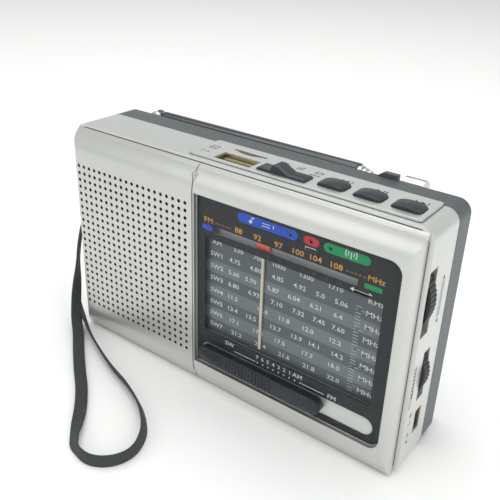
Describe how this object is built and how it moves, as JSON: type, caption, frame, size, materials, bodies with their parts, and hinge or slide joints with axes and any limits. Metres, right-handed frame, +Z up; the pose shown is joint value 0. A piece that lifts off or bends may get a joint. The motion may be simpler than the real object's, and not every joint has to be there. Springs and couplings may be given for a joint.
{
  "type": "shortwave receiver",
  "caption": "Pocket shortwave receiver: perforated speaker grille, smoked dial window with sliding band switch, thumbwheels, top keys, folding whip antenna and wrist strap.",
  "frame": {"origin": "centre of the flat base the receiver stands on, on the middle of its width, 15 mm behind the face", "axes": "+X to the right as seen from the front, +Y towards the back, +Z up"},
  "size_m": [0.1371, 0.0842, 0.0825],
  "materials": {
    "silver_case": "satin silver lacquer on moulded plastic",
    "silver_front": "satin silver lacquer on moulded plastic",
    "slate_shell": "fine matt texture, dark slate",
    "smoked_window": "polished clear plastic, smoked look",
    "scale_print": "screen-printed card",
    "ivory_plastic": "moulded",
    "red_tab": "painted",
    "cord_thread": "twisted thread",
    "board_green": "solder mask",
    "led_lens": "clear lens",
    "black_gloss": "polished black",
    "wheel_black": "moulded, knurled edge",
    "switch_steel": "pressed sheet",
    "socket_gold": "dull plated sheet",
    "case_screw_black": "black oxide",
    "tuner_plastic": "translucent",
    "pot_brown": "phenolic",
    "basket_steel": "black lacquer",
    "cone_paper": "pressed paper",
    "ferrite": "sintered",
    "coil_wire": "silk-covered litz wire on a paper sleeve",
    "pack_wrap": "printed wrap without lettering",
    "tube_gunmetal": "black chrome",
    "bright_chrome": "polished",
    "strap_web": "woven nylon"
  },
  "bodies": {
    "radio": {"front_case": "silver_case", "speaker_grille": "silver_front", "dial_bezel": "silver_front", "rear_case": "slate_shell", "back_cover": "slate_shell", "top_panel": "silver_case", "antenna_rest": "slate_shell", "case_screws": "case_screw_black", "dial_window": "smoked_window", "dial_scale": "scale_print", "dial_frame": "ivory_plastic", "dial_cord": "cord_thread", "frame_screws": "switch_steel", "indicator_strip": "board_green", "indicator_leds": "led_lens", "slider_track": "silver_case", "band_switch": "switch_steel", "usb_socket": "socket_gold", "card_socket": "switch_steel", "mode_switch": "switch_steel", "button_switches": "wheel_black", "player_board": "board_green", "tuning_capacitor": "tuner_plastic", "volume_control": "pot_brown", "charge_socket": "socket_gold", "main_board": "board_green", "board_screws": "switch_steel", "speaker_frame": "basket_steel", "speaker_cone": "cone_paper", "speaker_magnet": "switch_steel", "ferrite_rod": "ferrite", "ferrite_coil": "coil_wire", "rod_clips": "ivory_plastic", "battery_pack": "pack_wrap", "battery_contacts": "socket_gold", "strap_anchor": "bright_chrome", "strap_tab": "strap_web", "wrist_strap": "strap_web"},
    "tuning_control": {"tuning_wheel": "wheel_black", "tuning_shaft": "socket_gold"},
    "pointer": {"dial_pointer": "ivory_plastic", "pointer_tab": "red_tab"},
    "volume_control_wheel": {"volume_wheel": "wheel_black"},
    "band_slider": {"band_knob": "black_gloss"},
    "mode_slider": {"mode_knob": "black_gloss"},
    "back_key": {"back_button": "black_gloss"},
    "play_key": {"play_button": "black_gloss"},
    "forward_key": {"forward_button": "black_gloss"},
    "antenna_base": {"antenna_swivel": "bright_chrome", "antenna_screw": "bright_chrome", "antenna_pin": "bright_chrome"},
    "antenna_outer": {"antenna_root": "tube_gunmetal", "antenna_tube": "tube_gunmetal"},
    "antenna_second": {"antenna_section_2": "bright_chrome"},
    "antenna_third": {"antenna_section_3": "bright_chrome"},
    "antenna_fourth": {"antenna_section_4": "bright_chrome"},
    "antenna_end": {"antenna_rod": "bright_chrome", "antenna_tip": "bright_chrome"},
    "door": {"battery_door": "slate_shell"}
  },
  "joints": [
    {"name": "tuning_turn", "type": "hinge", "parent": "radio", "child": "tuning_control", "pos_m": [0.0522, -0.008, 0.0574], "axis": [0, 1, 0], "range_deg": [-55, 132.1]},
    {"name": "pointer_slide", "type": "slide", "parent": "radio", "child": "pointer", "axis": [1, 0, 0], "range_m": [-0.01, 0.024]},
    {"name": "volume_turn", "type": "hinge", "parent": "radio", "child": "volume_control_wheel", "pos_m": [0.0554, -0.003, 0.032], "axis": [0, 1, 0], "range_deg": [0, 280]},
    {"name": "band_slide", "type": "slide", "parent": "radio", "child": "band_slider", "axis": [1, 0, 0], "range_m": [0, 0.016]},
    {"name": "mode_slide", "type": "slide", "parent": "radio", "child": "mode_slider", "axis": [1, 0, 0], "range_m": [0, 0.0026]},
    {"name": "back_press", "type": "slide", "parent": "radio", "child": "back_key", "axis": [0, 0, -1], "range_m": [0, 0.0007], "stiffness_N_per_m": 400, "springref_m": -0.0008},
    {"name": "play_press", "type": "slide", "parent": "radio", "child": "play_key", "axis": [0, 0, -1], "range_m": [0, 0.0007], "stiffness_N_per_m": 400, "springref_m": -0.0008},
    {"name": "forward_press", "type": "slide", "parent": "radio", "child": "forward_key", "axis": [0, 0, -1], "range_m": [0, 0.0007], "stiffness_N_per_m": 400, "springref_m": -0.0008},
    {"name": "antenna_turn", "type": "hinge", "parent": "radio", "child": "antenna_base", "pos_m": [-0.0536, 0.0172, 0.0766], "axis": [0, 0, 1], "range_deg": [0, 180]},
    {"name": "antenna_lift", "type": "hinge", "parent": "antenna_base", "child": "antenna_outer", "pos_m": [-0.0536, 0.0172, 0.0766], "axis": [0, -1, 0], "range_deg": [0, 90]},
    {"name": "second_slide", "type": "slide", "parent": "antenna_outer", "child": "antenna_second", "axis": [1, 0, 0], "range_m": [0, 0.054]},
    {"name": "third_slide", "type": "slide", "parent": "antenna_second", "child": "antenna_third", "axis": [1, 0, 0], "range_m": [0, 0.054]},
    {"name": "fourth_slide", "type": "slide", "parent": "antenna_third", "child": "antenna_fourth", "axis": [1, 0, 0], "range_m": [0, 0.054]},
    {"name": "end_slide", "type": "slide", "parent": "antenna_fourth", "child": "antenna_end", "axis": [1, 0, 0], "range_m": [0, 0.054]},
    {"name": "door_turn", "type": "hinge", "parent": "radio", "child": "door", "pos_m": [0, 0.0193, 0.0158], "axis": [-1, 0, 0], "range_deg": [0, 95]}
  ],
  "couplings": [
    {"joint": "pointer_slide", "follows": "tuning_turn", "m_per_rad": 0.0104}
  ]
}
